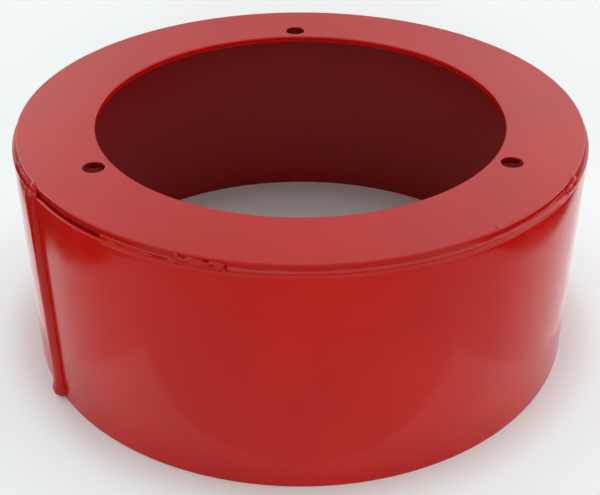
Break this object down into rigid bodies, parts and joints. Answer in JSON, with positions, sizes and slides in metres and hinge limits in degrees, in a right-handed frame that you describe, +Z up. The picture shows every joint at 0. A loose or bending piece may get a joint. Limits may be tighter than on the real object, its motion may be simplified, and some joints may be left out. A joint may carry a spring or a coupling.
{
  "type": "flanged collar",
  "caption": "Short round sheet-steel collar, open at the bottom, with a flat annular flange plate welded on top, a wide central opening and a ring of bolt holes, painted glossy red.",
  "frame": {"origin": "centre of the shell's bottom rim, on the surface the collar stands on", "axes": "+Z up along the shell's axis towards the flange plate, -Y towards the front, with the seam at the front left"},
  "size_m": [0.302, 0.302, 0.13],
  "materials": {
    "red_paint": "gloss",
    "painted_weld": "gloss"
  },
  "bodies": {
    "root": {"flange_plate": "red_paint", "rolled_shell": "red_paint", "seam_weld": "painted_weld", "corner_weld_front": "painted_weld", "corner_weld_restart": "painted_weld", "corner_weld_root_run": "painted_weld", "corner_weld_left": "painted_weld", "corner_weld_back_left": "painted_weld", "corner_weld_back_right": "painted_weld"}
  },
  "joints": []
}
